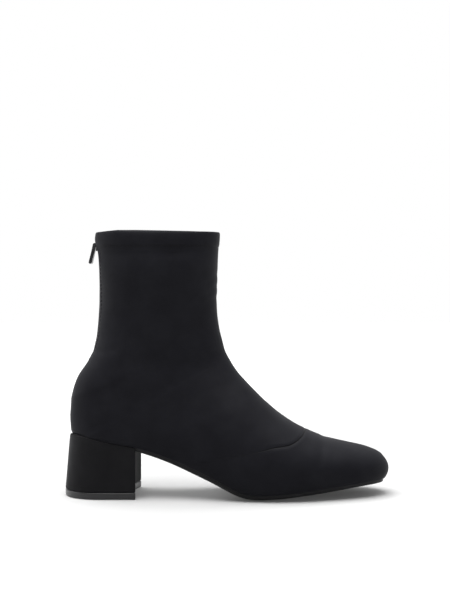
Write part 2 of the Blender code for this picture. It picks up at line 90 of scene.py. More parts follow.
# The sections of the last: the CAD model's, with a rounder forefoot and a lower edge at the heel's back
Section = namedtuple(
    "Section",
    "low_x low_z high_x high_z seat_out seat_in wide_out wide_in widest under over bow spine",
)
SECTIONS = {
    "toe tip": Section(121.9, 12.3, 118.5, 31.0, 0.0, 0.0, 0.0, 0.0, 0.34, 2.20, 2.05, 4.5, 4.6),
    "toe front": Section(119.4, 12.3, 114.2, 33.3, 10.5, 10.5, 12.4, 12.4, 0.34, 2.20, 2.05, 4.0, 4.5),
    "toe round": Section(112.0, 12.2, 106.0, 36.1, 18.8, 18.8, 22.0, 22.0, 0.34, 2.20, 2.05, 2.4, 4.1),
    "toe": Section(100.0, 11.7, 93.5, 38.9, 25.4, 25.4, 29.0, 29.0, 0.34, 2.20, 2.02, 0.9, 3.3),
    "vamp": Section(82.0, 10.1, 76.0, 43.4, 31.0, 31.4, 34.9, 35.0, 0.34, 2.20, 2.0, 0.2, 2.0),
    "joint": Section(60.0, 7.7, 57.0, 51.2, 35.3, 35.2, 39.8, 39.4, 0.33, 2.20, 2.0, 0.0, 0.7),
    "ball": Section(36.0, 5.3, 41.5, 61.1, 36.8, 33.0, 41.8, 38.6, 0.31, 2.20, 2.0, 0.0, -0.1),
    "waist front": Section(12.0, 6.0, 28.0, 72.5, 34.0, 28.0, 40.0, 36.2, 0.31, 2.15, 2.00, 0.0, -0.6),
    "waist": Section(-14.0, 18.0, 17.2, 83.4, 28.5, 22.5, 36.5, 33.6, 0.33, 2.10, 2.00, 0.0, -0.8),
    "shank": Section(-42.0, 30.2, 9.6, 91.5, 25.8, 22.2, 33.4, 32.0, 0.34, 2.05, 2.00, 0.0, -0.8),
    "breast": Section(-68.0, 39.0, 5.2, 97.4, 26.2, 24.8, 31.6, 31.0, 0.35, 2.00, 2.05, 0.0, -0.5),
    "seat": Section(-92.0, 43.53, 2.5, 102.2, 26.6, 26.2, 31.0, 30.8, 0.35, 2.00, 2.10, 0.0, -0.2),
    "seat round": Section(-110.5, 47.2, 0.0, 107.2, 21.2, 21.2, 30.6, 30.6, 0.36, 2.00, 2.10, 0.0, 0.0),
    "heel corner": Section(-121.0, 46.5, -2.2, 112.8, 0.0, 0.0, 30.6, 30.6, 0.37, 2.40, 2.15, 0.0, 0.0),
    "counter": Section(-121.7, 66.0, -4.6, 120.6, 0.0, 0.0, 30.4, 30.4, 0.40, 2.40, 2.15, 0.0, 0.0),
    "bend": Section(-115.7, 91.0, -6.6, 129.8, 0.0, 0.0, 29.6, 29.6, 0.43, 2.30, 2.10, 0.0, 0.0),
    "ankle": Section(-103.2, 112.5, -7.9, 140.3, 0.0, 0.0, 29.4, 29.4, 0.46, 2.15, 2.05, 0.0, 0.0),
    "lower shaft": Section(-99.2, 138.0, -8.4, 153.5, 0.0, 0.0, 30.4, 30.4, 0.48, 2.05, 2.05, 0.2, 0.0),
    "shaft": Section(-98.7, 165.0, -8.0, 170.6, 0.0, 0.0, 32.0, 32.0, 0.49, 2.05, 2.05, 0.5, 0.0),
    "hem": Section(-100.2, 190.2, -6.9, 190.6, 0.0, 0.0, 33.6, 33.6, 0.49, 2.05, 2.05, 1.0, 0.0),
    "collar": Section(-101.1, 202.6, -6.5, 202.8, 0.0, 0.0, 34.2, 34.2, 0.49, 2.05, 2.05, 1.1, 0.0),
}
NAMES = list(SECTIONS)
ROWS = np.array(list(SECTIONS.values()))
CORNER = NAMES.index("heel corner")
HEM = NAMES.index("hem")
COLLAR = NAMES.index("collar")
ZIP_END = NAMES.index("bend") + 2 / 3

# Fine sampling of the upper: stations for each stretch of sections, and points round each one
Stretch = namedtuple("Stretch", "first last per_section")
STRETCHES = [
    Stretch(0, 2, 16),
    Stretch(2, 4.5, 12),
    Stretch(4.5, 7.5, 22),
    Stretch(7.5, 9, 14),
    Stretch(9, 12, 9),
    Stretch(12, ZIP_END, 12),
    Stretch(ZIP_END, 18.5, 10),
    Stretch(18.5, 20, 24),
]
LOWER_FINE = 4  # fine points for each lower step
UPPER_FINE = 5
FINE_SOLE = 8  # stations of the sole for each section
CORNER_PASSES = 40
CORNER_REACH = 1.3  # sections either side of the heel corner that are smoothed
CORNER_RISE = 0.75
MIDLINE = 0.001  # rises this near the ridge or the lower end belong to both sides
INSIDE = (-0.05, 0, 0.09)  # a point inside the upper, in metres

# The vamp seam, as in the CAD model
Place = namedtuple("Place", "section rise")
VAMP_SEAM = [
    Place(4.80, 1.00),
    Place(4.90, 0.88),
    Place(5.12, 0.75),
    Place(5.60, 0.63),
    Place(6.45, 0.545),
    Place(7.40, 0.43),
    Place(8.15, 0.27),
    Place(8.75, 0.00),
]
SEAM_FADE = (5.9, 7.1)  # sections between which the seam grows faint
SEAM_FAINT = 0.8

# Low relief beside a line: its height (a groove's is negative), its distance from the line and its width
Relief = namedtuple("Relief", "height away width")
VAMP_RELIEF = [Relief(-0.5, 0.0, 1.0), Relief(0.14, 2.2, 1.3)]
BACK_RELIEF = [Relief(-0.35, 0.0, 0.9)]
SLOT_RELIEF = [Relief(0.25, 1.2, 1.2), Relief(-0.3, 3.4, 0.8)]
ZIP_FLARE = [Relief(1.6, 7.5, 6.5)]  # measured down from the collar
FLARE_HALF = 9.0

# The upper turns in over the back of the heel
HEEL_TUCK = [Relief(-1.3, 0.0, 2.0)]
TUCK_FROM = 11.5
TUCK_ZONE = (108, 118)  # behind the origin
EDGE_HELD = 0.02  # rise over which the relief grows from the held lower edge
HELD_UNTIL = (11.5, 12.5)

# The hem at the collar, in millimetres measured down from its edge
HEM_HEIGHT = 12.45
HemPoint = namedtuple("HemPoint", "drop at_ends at_sides")
HEM_CURVE = [
    HemPoint(0.0, 0.0, -1.9),
    HemPoint(1.0, 0.35, -1.15),
    HemPoint(2.4, 0.42, -0.62),
    HemPoint(5.0, 0.4, -0.12),
    HemPoint(9.0, 0.22, 0.3),
    HemPoint(11.2, 0.05, 0.36),
    HemPoint(12.2, -0.35, -0.1),
    HemPoint(13.4, -0.32, -0.2),
    HemPoint(15.5, -0.35, -0.28),
    HemPoint(18.5, -0.4, -0.05),
    HemPoint(22.0, -0.45, 0.75),
    HemPoint(26.0, -0.4, 1.7),
    HemPoint(30.0, -0.3, 2.15),
    HemPoint(35.0, -0.2, 2.25),
    HemPoint(48.0, 0.0, 1.2),
    HemPoint(65.0, 0.0, 0.0),
]
CLOTH_LIFT = 0.45  # fullness of the cloth over the modelled surface
BELOW_HEM = 25.2  # length of the section under it
SIDE_REACH = 0.8  # share of the way round to the side at which the side's curve holds alone
# The collar's edge rises and falls: the place along it and the height
RIM_WAVE = [
    (-104, -0.8),
    (-96, -0.5),
    (-83, 0.5),
    (-68, 0.4),
    (-52, 0.0),
    (-37, -0.4),
    (-21, -0.8),
    (-6, -0.8),
]

# Soft creases of the cloth: the sides they are on, their width and depth, and the places they run through
Crease = namedtuple("Crease", "sides width depth places")
CREASES = {
    "toe puff edge": Crease((-1, 1), 3.5, 0.5, [(4.05, 1.0), (4.15, 0.82), (4.35, 0.66), (4.5, 0.5)]),
    "front fold 1": Crease((-1, 1), 2.6, 0.35, [(17.95, 1.0), (17.9, 0.9), (17.6, 0.78)]),
    "front fold 2": Crease((-1, 1), 2.4, 0.32, [(17.45, 1.0), (17.4, 0.9), (17.2, 0.8)]),
    "front fold 3": Crease((-1, 1), 2.6, 0.28, [(16.9, 1.0), (16.85, 0.9), (16.6, 0.75)]),
    "throat hollow": Crease((-1, 1), 12.0, 0.5, [(11.8, 1.0), (13.0, 1.0), (14.5, 1.0), (16.2, 1.0)]),
    "throat fold": Crease((-1, 1), 5.0, 0.5, [(12.6, 1.0), (12.7, 0.85), (13.3, 0.65), (14.2, 0.5)]),
    "ankle fold": Crease((-1, 1), 7.0, 0.7, [(15.55, 0.0), (15.4, 0.2), (14.9, 0.36), (14.2, 0.5)]),
    "heel bend": Crease((-1, 1), 3.0, 0.5, [(15.9, 0.03), (15.85, 0.15), (15.7, 0.28)]),
    "back hollow": Crease((-1, 1), 10.0, 0.8, [(15.3, 0.0), (15.25, 0.15), (15.1, 0.3)]),
    "arch hollow": Crease((-1, 1), 9.0, 0.7, [(10.6, 0.55), (9.6, 0.42), (8.6, 0.34)]),
    "side drape": Crease((-1,), 11.0, 0.5, [(18.4, 0.45), (17.2, 0.4), (16.0, 0.42), (14.8, 0.5)]),
}

MIRROR = np.where([name in ("seat_out", "seat_in", "wide_out", "wide_in") for name in Section._fields], -1, 1)
LOW_FIELDS = [Section._fields.index(name) for name in ("low_x", "low_z", "seat_out", "seat_in")]


def guarded(rows, before, after):
    """The rows with one more at each end, which sets the direction of a smooth curve there."""
    return np.vstack([before, rows, after])


WHOLE = guarded(ROWS, ROWS[1] * MIRROR, 2 * ROWS[-1] - ROWS[-2])
FOOT = guarded(ROWS[: CORNER + 1], ROWS[1] * MIRROR, ROWS[CORNER - 1] * MIRROR)
LEG = guarded(ROWS[CORNER:], 2 * ROWS[CORNER] - ROWS[CORNER + 1], 2 * ROWS[-1] - ROWS[-2])


def smooth(rows, at):
    """The smooth curve through guarded rows, at a place counted in rows from the first."""
    i = int(min(max(math.floor(at), 0), len(rows) - 4))
    s = at - i
    a, b, c, d = rows[i : i + 4]
    pull_b, pull_c = (c - a) / 2, (d - b) / 2
    return (
        (2 * s**3 - 3 * s**2 + 1) * b
        + (s**3 - 2 * s**2 + s) * pull_b
        + (3 * s**2 - 2 * s**3) * c
        + (s**3 - s**2) * pull_c
    )


def section(at):
    """The section of the last at a place between two rows of the table."""
    values = smooth(WHOLE, at)
    lower = smooth(FOOT, at) if at <= CORNER else smooth(LEG, at - CORNER)
    values[LOW_FIELDS] = lower[LOW_FIELDS]
    return Section(*values)


def sole_half(here, side):
    return max(0.0, here.seat_out if side < 0 else here.seat_in)


def lower_turn(at, wide, power, rise):
    """The angles of points below the widest one. Up the back, their first step ends at the zip's slot."""
    even = math.radians(90) / LOWER_STEPS
    leg = min(1.0, max(0.0, (at - CORNER) / (ZIP_END - CORNER)))
    slot = math.asin((SLOT_HALF / max(wide, SLOT_HALF)) ** (power / 2))
    first = even + (slot - even) * leg
    step = rise * LOWER_STEPS
    later = (math.radians(90) - first) * (1 - (step - 1) / (LOWER_STEPS - 1))
    return np.where(step < 1, math.radians(90) - first * step, later)


def section_points(at, rises, side):
    """Points of the upper along one section, in millimetres: rise 0 is its lower end and 1 its ridge."""
    here = section(at)
    rises = np.asarray(rises, float)
    low = np.array([here.low_x, here.low_z])
    span = np.array([here.high_x, here.high_z]) - low
    length = np.linalg.norm(span)
    along = span / length
    across = np.array([along[1], -along[0]])
    seat = sole_half(here, side)
    wide = max(seat, here.wide_out if side < 0 else here.wide_in)
    below = rises < TURN_AT
    turn_low = lower_turn(at, wide, here.under, rises / TURN_AT)
    turn_high = np.clip(math.radians(90) * (rises - TURN_AT) / (1 - TURN_AT), 0, math.radians(90))
    turn = np.where(below, np.clip(turn_low, 0, math.radians(90)), turn_high)
    power = np.where(below, here.under, here.over)
    sine = np.sin(turn) ** (2 / power)
    cosine = np.clip(np.cos(turn), 0, 1) ** (2 / power)
    share = np.where(below, here.widest * (1 - sine), here.widest + (1 - here.widest) * sine)
    half = np.where(below, seat + (wide - seat) * cosine, wide * cosine)
    half[rises > 0.99999] = 0.0
    bulge = np.clip(share, 0, 1) ** BOW_PEAK
    flat = low + np.outer(length * share, along) + np.outer(here.bow * 4 * bulge * (1 - bulge), across)
    return np.column_stack([flat[:, 0], here.spine + side * half, flat[:, 1]])


def point_on(at, rise, side):
    return section_points(at, [rise], side)[0]


def smooth_places(places, steps):
    """A smooth run through (section, rise) places."""
    rows = np.array(places, float)
    rows = guarded(rows, 2 * rows[0] - rows[1], 2 * rows[-1] - rows[-2])
    run = [smooth(rows, k / steps) for k in range((len(places) - 1) * steps + 1)]
    return [(at, min(1.0, max(0.0, rise))) for at, rise in run]


def path_on_surface(places, side, steps=8):
    return np.array([point_on(at, rise, side) for at, rise in smooth_places(places, steps)])


def distance_to_path(points, path):
    """Distance from each point to a chain of straight pieces."""
    best = np.full(len(points), 1e9)
    for a, b in zip(path, path[1:]):
        edge = b - a
        share = np.clip(((points - a) @ edge) / max(edge @ edge, 1e-12), 0, 1)
        best = np.minimum(best, np.linalg.norm(points - a - np.outer(share, edge), axis=1))
    return best


def bell(distance, width):
    return np.exp(-((distance / width) ** 2))


def fade(value, low, high):
    """0 below low and 1 above high, smooth between."""
    s = np.clip((value - low) / (high - low), 0, 1)
    return s * s * (3 - 2 * s)


def line_relief(rows, distance):
    """Height of low relief at a distance from its line."""
    return sum(row.height * bell(distance - row.away, row.width) for row in rows)


def seam_section(rise):
    """Where among the sections the vamp seam crosses a rise."""
    sections, rises = np.array(smooth_places(VAMP_SEAM, 8)).T
    return np.interp(rise, rises[::-1], sections[::-1])


def hem_relief(at, rise):
    """How far the cloth stands out at the folded hem and below it, by the place on the upper."""
    drop = np.where(at >= HEM, (COLLAR - at) * HEM_HEIGHT, HEM_HEIGHT + (HEM - at) * BELOW_HEM)
    rows = np.array(HEM_CURVE)
    rows = guarded(rows, 2 * rows[0] - rows[1], 2 * rows[-1] - rows[-2])
    steps = 8
    curve = [smooth(rows, k / steps) for k in range(steps * (len(HEM_CURVE) - 1) + 1)]
    drops, at_ends, at_sides = np.array(curve).T
    drops = np.maximum.accumulate(drops)
    sideways = fade(np.where(rise < TURN_AT, rise / TURN_AT, (1 - rise) / (1 - TURN_AT)), 0.0, SIDE_REACH)
    return np.interp(drop, drops, at_ends) * (1 - sideways) + np.interp(drop, drops, at_sides) * sideways


def zip_end_flare(at, rise, points):
    """The stiff end of the zip pushes the hem out at the back."""
    drop = (COLLAR - at) * HEM_HEIGHT
    near = (rise < TURN_AT) * (at > HEM - 1)
    return line_relief(ZIP_FLARE, drop) * bell(points[:, 1], FLARE_HALF) * near


def cloth_waves(points):
    """Slow, slight unevenness of hand-lasted cloth."""
    x, y, z = points.T
    slow = np.sin(x * 0.11 + z * 0.07 + 0.6) * np.sin(y * 0.13 - z * 0.05 + 1.1)
    quick = np.sin(x * 0.27 - z * 0.19 + y * 0.1) * np.sin(z * 0.31 + x * 0.12 + 2.0)
    return 0.16 * slow + 0.06 * quick


def fine_stations():
    stations = set()
    for stretch in STRETCHES:
        count = int(round((stretch.last - stretch.first) * stretch.per_section))
        stations.update(np.round(np.linspace(stretch.first, stretch.last, count + 1), 6))
    return sorted(stations)


def fine_rises():
    lower = np.linspace(0, TURN_AT, LOWER_STEPS * LOWER_FINE + 1)
    upper = np.linspace(TURN_AT, 1, UPPER_STEPS * UPPER_FINE + 1)
    return np.concatenate([lower, upper[1:]])


def new_mesh(name, points, faces):
    """A mesh of points in millimetres, with points that meet made one and empty faces left out."""
    points = np.asarray(points, float)
    _, first, index = np.unique(np.round(points, 4), axis=0, return_index=True, return_inverse=True)
    index = index.reshape(-1)
    clean = []
    for face in faces:
        ring = [index[k] for k in face]
        ring = [k for n, k in enumerate(ring) if k != ring[n - 1]]
        if len(set(ring)) >= 3 and len(set(ring)) == len(ring):
            clean.append(ring)
    mesh = bpy.data.meshes.new(name)
    mesh.from_pydata((points[first] * MM).tolist(), [], clean)
    mesh.update()
    return mesh, first


def add_piece(name, mesh, material, replaces=None, smooth_angle=40):
    """A shown piece that rides on the boot."""
    mesh.shade_smooth()
    mesh.set_sharp_from_angle(angle=math.radians(smooth_angle))
    obj = bpy.data.objects.new(name, mesh)
    bpy.context.scene.collection.objects.link(obj)
    for each in material if isinstance(material, list) else [material]:
        mesh.materials.append(each)
    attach(obj, BOOT)
    if replaces:
        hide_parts(replaces)
    return obj


def outward(mesh, origin):
    """Turns the faces of an open sheet so that they look away from a point inside it, in metres."""
    votes = sum(1 if face.normal.dot(face.center - Vector(origin)) > 0 else -1 for face in mesh.polygons)
    if votes < 0:
        mesh.flip_normals()


def soften_heel_corner(mesh, at_of, rise_of):
    """Smooths the faint fold that runs forward from the heel's lower back corner."""
    bm = bmesh.new()
    bm.from_mesh(mesh)
    bm.verts.ensure_lookup_table()
    near = (np.abs(at_of - CORNER) < CORNER_REACH) & (rise_of < CORNER_RISE)
    soft = [bm.verts[k] for k in np.nonzero(near)[0] if not bm.verts[k].is_boundary]
    for _ in range(CORNER_PASSES):
        bmesh.ops.smooth_vert(bm, verts=soft, factor=0.5, use_axis_x=True, use_axis_y=True, use_axis_z=True)
    bm.normal_update()
    bm.to_mesh(mesh)
    bm.free()
    mesh.update()


def upper_sheet():
    """The upper's plain surface as a fine mesh, with the section, rise and side of each point."""
    stations = fine_stations()
    rises = fine_rises()
    count = len(rises)
    points, at_of, rise_of, side_of = [], [], [], []
    for at in stations:
        outer = section_points(at, rises, -1)
        inner = section_points(at, rises[-2::-1], 1)
        points += [outer, inner]
        at_of += [at] * (2 * count - 1)
        rise_of += [rises, rises[-2::-1]]
        side_of += [-1] * count + [1] * (count - 1)
    points = np.vstack(points)
    at_of, rise_of, side_of = np.array(at_of), np.concatenate(rise_of), np.array(side_of)
    ring = 2 * count - 1
    slot_edge = LOWER_FINE
    faces = []
    for n in range(len(stations) - 1):
        above_slot = stations[n] >= ZIP_END - 1e-6
        for k in range(ring - 1):
            if above_slot and (k < slot_edge or k >= ring - 1 - slot_edge):
                continue
            a = n * ring + k
            faces.append((a, a + 1, a + ring + 1, a + ring))
    mesh, first = new_mesh("upper_cloth", points, faces)
    outward(mesh, INSIDE)
    at_of, rise_of, side_of = at_of[first], rise_of[first], side_of[first]
    soften_heel_corner(mesh, at_of, rise_of)
    return mesh, at_of, rise_of, side_of


def crease_depth(points, rise_of, side_of):
    """How far the creases press the cloth in."""
    depth = np.zeros(len(points))
    for crease in CREASES.values():
        pressed = np.zeros(len(points))
        for side in crease.sides:
            mine = (side_of == side) | (rise_of > 1 - MIDLINE) | (rise_of < MIDLINE)
            path = path_on_surface(crease.places, side)
            near = np.where(mine, distance_to_path(points, path), FAR)
            pressed = np.maximum(pressed, bell(near, crease.width))
        depth += crease.depth * pressed
    return depth


def heel_tuck(points):
    """How far the cloth turns in along its lower edge at the back of the heel."""
    run = np.linspace(TUCK_FROM, CORNER, 12)
    edge = np.array([point_on(at, 0.0, side) for side in (-1, 1) for at in run[::-side]])
    return line_relief(HEEL_TUCK, distance_to_path(points, edge)) * fade(-points[:, 0], *TUCK_ZONE)


def make_upper(cloth, lining):
    """The upper, with the hem, seams and creases pressed into it."""
    mesh, at_of, rise_of, side_of = upper_sheet()
    points = np.array([v.co for v in mesh.vertices]) / MM
    normals = np.array([v.normal for v in mesh.vertices])

    seam = np.minimum(
        distance_to_path(points, path_on_surface(VAMP_SEAM, -1)),
        distance_to_path(points, path_on_surface(VAMP_SEAM, 1)),
    )
    seam_strength = 1 - SEAM_FAINT * fade(at_of, *SEAM_FADE)
    at_back = (at_of > CORNER) & (at_of <= ZIP_END) & (rise_of < TURN_AT)
    back = np.where(at_back, np.abs(points[:, 1]), FAR)
    beside_slot = (at_of >= ZIP_END) & (rise_of < TURN_AT)
    slot = np.where(beside_slot, np.abs(np.abs(points[:, 1]) - SLOT_HALF), FAR)
    relief = CLOTH_LIFT + hem_relief(at_of, rise_of) + cloth_waves(points)
    relief += zip_end_flare(at_of, rise_of, points)
    relief += seam_strength * line_relief(VAMP_RELIEF, seam)
    relief += line_relief(BACK_RELIEF, back) + line_relief(SLOT_RELIEF, slot)
    relief += heel_tuck(points) - crease_depth(points, rise_of, side_of)
    relief *= np.maximum(fade(rise_of, 0.0, EDGE_HELD), fade(at_of, *HELD_UNTIL))
    points = points + normals * relief[:, None]
    points[:, 2] += np.interp(points[:, 0], *zip(*RIM_WAVE)) * fade(at_of, HEM - 0.3, COLLAR)
    mesh.vertices.foreach_set("co", (points * MM).ravel())
    mesh.update()
    shown_seam = mesh.attributes.new("seam_distance", "FLOAT", "POINT")
    shown = np.where(at_back, points[:, 1], np.sign(at_of - seam_section(rise_of)) * seam / seam_strength)
    shown_seam.data.foreach_set("value", shown.astype(np.float32))

    upper = add_piece("upper_cloth", mesh, [cloth, lining], "upper", smooth_angle=180)
    wall = upper.modifiers.new("wall", "SOLIDIFY")
    wall.thickness = WALL * MM
    wall.offset = -1
    wall.use_even_offset = True
    wall.material_offset = 1
    wall.material_offset_rim = 0


def loft_faces(rows, ring, closed=True):
    faces = []
    for n in range(rows - 1):
        for k in range(ring if closed else ring - 1):
            m = (k + 1) % ring
            faces.append((n * ring + k, n * ring + m, (n + 1) * ring + m, (n + 1) * ring + k))
    return faces


def fix_normals(mesh):
    bm = bmesh.new()
    bm.from_mesh(mesh)
    bmesh.ops.recalc_face_normals(bm, faces=bm.faces)
    bm.to_mesh(mesh)
    bm.free()


def value_at(table, x):
    """A value from a table by x."""
    places = sorted(table)
    return float(np.interp(x, places, [table[place] for place in places]))


def sole_crown(here):
    fore = min(1.0, max(0.0, (SECTIONS["toe tip"].low_x - here.low_x) / CROWN_RUN))
    aft = min(1.0, max(0.0, (here.low_x - BREAST_X - CROWN_CLEAR) / CROWN_RUN))
    return SOLE_CROWN * math.sin(math.radians(90) * fore) * math.sin(math.radians(90) * aft)


def make_outsole(material):
    """The outsole with a rounded edge, tucked in at heel and waist and proud at the ball."""
    length = SECTIONS["toe tip"].low_x - SECTIONS["heel corner"].low_x
    shares = [-share for share in SOLE_SHARES[:0:-1]] + SOLE_SHARES
    points = []
    stations = [k / FINE_SOLE for k in range(CORNER * FINE_SOLE + 1)]
    for at in stations:
        here = section(at)
        top = here.low_z - SOLE_SEAM
        base = here.low_z - GAP - value_at(SOLE_EDGES, here.low_x)
        inset = value_at(SOLE_INSETS, here.low_x)
        x = here.low_x * (1 - 2 * SOLE_SHORTER / length)
        for share in shares:
            half = max(0.0, sole_half(here, share) - inset)
            roll = max(0.0, abs(share) - CROWN_FLAT) / (1 - CROWN_FLAT)
            lift = EDGE_LIFT * fade(abs(share), EDGE_TURN, 1.0)
            low = max(0.0, base + lift - sole_crown(here) * (1 - roll**2))
            points.append((x, here.spine + share * half, low))
        top_inset = min(inset, 0.0) + max(inset, 0.0) * fade(-here.low_x, *RIM_ZONE)
        for share in (1, -1):
            half = max(0.0, sole_half(here, share) - top_inset)
            points.append((x, here.spine + share * half, top))
    mesh, _ = new_mesh("outsole_rubber", points, loft_faces(len(stations), len(shares) + 2))
    fix_normals(mesh)
    add_piece("outsole_rubber", mesh, material, "outsole", smooth_angle=50)


HeelPoint = namedtuple("HeelPoint", "x y rim")


def round_corner(before, corner, after, steps=6):
    """A rounded corner as heel points, whose rim runs out from the side to the front."""
    start, turn, end = (np.array(p, float) for p in (before, corner, after))
    start = turn + (start - turn) / np.linalg.norm(start - turn) * HEEL_EDGE
    end = turn + (end - turn) / np.linalg.norm(end - turn) * HEEL_EDGE
    points = []
    for t in np.linspace(0, 1, steps + 1):
        x, y = start * (1 - t) ** 2 + 2 * turn * t * (1 - t) + end * t**2
        points.append(HeelPoint(x, y, 1 - float(fade(t, 0.3, 1.0))))
    return points


def heel_outline(back, half):
    """The heel seen from above: a round back, straight sides and a hollow front, which has no rim."""
    round_steps, side_steps, breast_steps = 48, 6, 24
    points = []
    for k in range(round_steps + 1):
        turn = math.radians(-90 + 180 * k / round_steps)
        points.append(HeelPoint(back + HEEL_ROUND * (1 - math.cos(turn)), half * math.sin(turn), 1.0))
    round_end = back + HEEL_ROUND
    side = [round_end + (BREAST_X - round_end) * k / side_steps for k in range(1, side_steps)]
    shares = [1 - 2 * k / breast_steps for k in range(breast_steps + 1)]
    breast = [(BREAST_X - BREAST_SAG * (1 - share**2), half * share) for share in shares]
    points += [HeelPoint(x, half, 1.0) for x in side]
    corner = round_corner((side[-1], half), breast[0], breast[1])
    points += corner
    points += [HeelPoint(x, y, 0.0) for x, y in breast[1:-1]]
    points += [HeelPoint(p.x, -p.y, p.rim) for p in corner[::-1]]
    points += [HeelPoint(x, -half, 1.0) for x in side[::-1]]
    return np.array(points)


def inset_outline(outline, inset):
    """The outline moved inwards, as (x, y) pairs."""
    places = outline[:, :2]
    along = np.roll(places, -1, axis=0) - np.roll(places, 1, axis=0)
    inwards = np.column_stack([-along[:, 1], along[:, 0]]) / np.linalg.norm(along, axis=1)[:, None]
    centre = places.mean(axis=0)
    inwards *= np.sign(np.sum(inwards * (centre - places), axis=1))[:, None]
    return places + inwards * inset


def feather_height(x):
    """Height of the upper's lower edge over the heel."""
    line = [section(at) for at in np.linspace(CORNER, NAMES.index("shank"), 60)]
    return np.interp(x, [here.low_x for here in line], [here.low_z for here in line])


def seat_height(x):
    """Height of the heel's sloping top, under the sole."""
    return feather_height(x) - np.array([value_at(SOLE_EDGES, place) for place in x]) - 2 * GAP


def prism(name, rings, material, replaces):
    """A loft whose two ends are closed by fans round their middles."""
    count = len(rings[0])
    points = np.vstack([*rings, rings[0].mean(axis=0), rings[-1].mean(axis=0)])
    faces = loft_faces(len(rings), count)
    for first, hub in ((0, len(points) - 2), ((len(rings) - 1) * count, len(points) - 1)):
        faces += [(first + k, first + (k + 1) % count, hub) for k in range(count)]
    mesh, _ = new_mesh(name, points, faces)
    fix_normals(mesh)
    add_piece(name, mesh, material, replaces, smooth_angle=50)


def make_heel(material):
    """The block heel in its cloth cover, which reaches up round the sole as far as the upper."""
    foot = heel_outline(HEEL_FOOT_BACK, HEEL_FOOT_HALF)
    top = heel_outline(HEEL_TOP_BACK, HEEL_TOP_HALF)
    seat = seat_height(top[:, 0])
    rim = seat + (feather_height(top[:, 0]) - GAP - seat) * top[:, 2]
    floor = np.full(len(foot), TOP_PIECE + GAP)
    rings = [np.column_stack([inset_outline(foot, inset), floor + up]) for inset, up in HEEL_FOOT_EDGE]
    for share in (0.25, 0.5, 0.75):
        outline = foot[:, :2] + (top - foot)[:, :2] * share
        rings.append(np.column_stack([outline, floor + (rim - floor) * share]))
    rings += [np.column_stack([inset_outline(top, inset), rim - down]) for inset, down in HEEL_RIM_EDGE]
    rings.append(np.column_stack([inset_outline(top, HEEL_RIM), seat - SEAT_SINK]))
    prism("heel_cover", rings, material, "heel")


def make_top_piece(material):
    """The rubber plate under the heel."""
    outline = heel_outline(HEEL_FOOT_BACK, HEEL_FOOT_HALF)
    rings = []
    for height, turned in ((0.0, 1), (TOP_PIECE, -1)):
        for inset, away in PLATE_EDGE[::turned]:
            level = np.full(len(outline), height + turned * away)
            rings.append(np.column_stack([inset_outline(outline, inset), level]))
    prism("heel_plate", rings, material, "heel_top_piece")


def back_frame(at):
    """A point on the middle of the back, in millimetres, with the way up it and the way out of it."""
    here, above, below = section(at), section(at + 0.01), section(at - 0.01)
    up = np.array([above.low_x - below.low_x, 0, above.low_z - below.low_z])
    up /= np.linalg.norm(up)
    return np.array([here.low_x, here.spine, here.low_z]), up, np.array([-up[2], 0, up[0]])


def zip_run():
    """Stations along the zip, and how far each is from the first, in millimetres."""
    stations = np.linspace(ZIP_END + 0.06, COLLAR - 0.03, 240)
    places = np.array([back_frame(at)[0] for at in stations])
    run = np.concatenate([[0], np.cumsum(np.linalg.norm(np.diff(places, axis=0), axis=1))])
    return stations, run


TOOTH_PITCH = 1.3
TOOTH_SIZE = (1.5, 0.62, 0.45)  # half length across, half height along, half thickness
TOOTH_MARGIN = 0.8  # from each end of the zip
TOOTH_ACROSS = 0.75  # from the zip's middle to a tooth's
TOOTH_DEPTH = 0.4
TOOTH_TILT = 0.2
TAPE_INNER = 0.5
TAPE_OUTER = 3.5


def make_zip_tape(material):
    """The two tapes of the closed zip, as one strip with a ribbed edge."""
    # How far across, and how deep under the back line
    profile = [(-TAPE_OUTER, 0.85), (-2.4, 0.8), (-2.1, 0.6), (-TAPE_INNER, 0.55), (0, 0.75)]
    profile += [(-y, depth) for y, depth in profile[-2::-1]]
    profile += [(TAPE_OUTER, ZIP_BACK_DEPTH), (-TAPE_OUTER, ZIP_BACK_DEPTH)]
    stations = zip_run()[0][::3]
    points = []
    for at in stations:
        place, _, out = back_frame(at)
        points += [place + np.array([0, y, 0]) - out * depth for y, depth in profile]
    rows, ring = len(stations), len(profile)
    faces = loft_faces(rows, ring)
    faces += [tuple(range(ring))[::-1], tuple(range((rows - 1) * ring, rows * ring))]
    mesh, _ = new_mesh("zip_tapes", points, faces)
    fix_normals(mesh)
    add_piece("zip_tapes", mesh, material, "zip", smooth_angle=30)


def bead(centre, axes, sizes, rings=5, around=8):
    """A rounded lozenge as points and faces."""
    points = []
    for r in range(rings):
        turn = math.pi * (r + 0.5) / rings - math.pi / 2
        for k in range(around):
            spin = 2 * math.pi * k / around
            local = (
                sizes[0] * math.sin(turn),
                sizes[1] * math.cos(turn) * math.cos(spin),
                sizes[2] * math.cos(turn) * math.sin(spin),
            )
            points.append(centre + sum(axis * value for axis, value in zip(axes, local)))
    faces = loft_faces(rings, around)
    faces += [tuple(range(around))[::-1], tuple(range((rings - 1) * around, rings * around))]
    return points, faces


def gather(name, beads):
    """One mesh of many small pieces."""
    points, faces = [], []
    for some_points, some_faces in beads:
        base = len(points)
        points += some_points
        faces += [tuple(base + k for k in face) for face in some_faces]
    mesh = bpy.data.meshes.new(name)
    mesh.from_pydata([tuple(p * MM) for p in points], [], faces)
    mesh.update()
    fix_normals(mesh)
    return mesh


